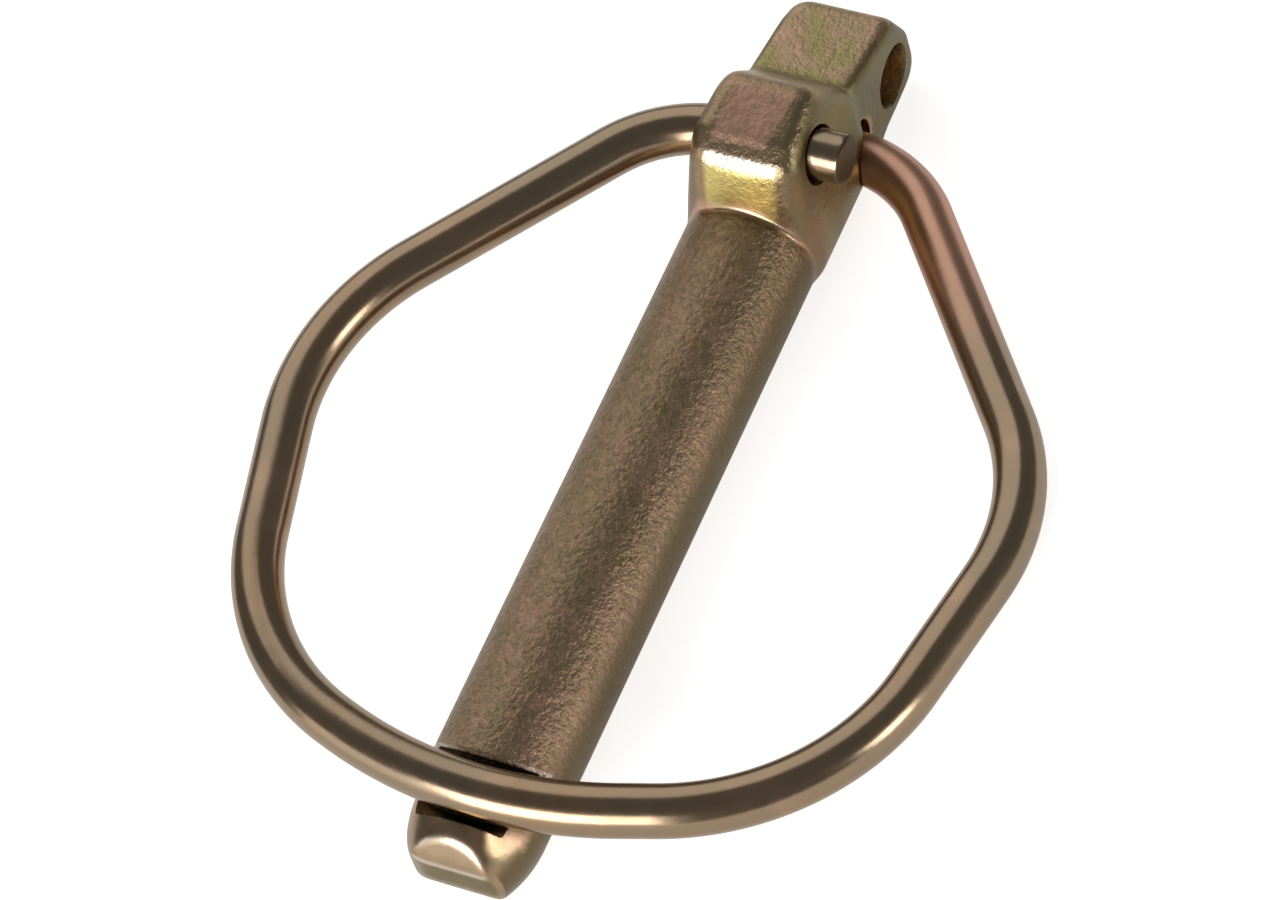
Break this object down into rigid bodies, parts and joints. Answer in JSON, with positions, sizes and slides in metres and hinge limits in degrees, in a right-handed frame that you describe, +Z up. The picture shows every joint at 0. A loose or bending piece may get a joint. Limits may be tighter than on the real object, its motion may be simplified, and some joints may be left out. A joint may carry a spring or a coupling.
{
  "type": "lynch pin",
  "caption": "Quick-release lynch pin: a forged steel pin with a drilled head, a round shank and a notched nose, held by a sprung wire ring that swings over the notch.",
  "frame": {"origin": "centre of the part's box, on the surface that it lies on", "axes": "+X along the shank from the head to the nose, +Z up, out of the notched front; +Y to the side that lies lower, where the ring touches"},
  "size_m": [0.0812, 0.0574, 0.0188],
  "materials": {
    "plated_forging": "forged and shot-blasted steel, zinc plated with a yellow iridescent passivate",
    "plated_wire": "smooth drawn spring wire, zinc plated with a yellow iridescent passivate"
  },
  "bodies": {
    "pin": {"pin_body": "plated_forging"},
    "spring_ring": {"ring": "plated_wire"}
  },
  "joints": [
    {"name": "ring_swing", "type": "hinge", "parent": "pin", "child": "spring_ring", "pos_m": [-0.02555, -0.00177, 0.00901], "axis": [0, -0.9815, 0.1913], "range_deg": [0, 180], "stiffness_Nm_per_rad": 0.1, "springref_deg": -22.92, "deforming": ["ring"]}
  ]
}
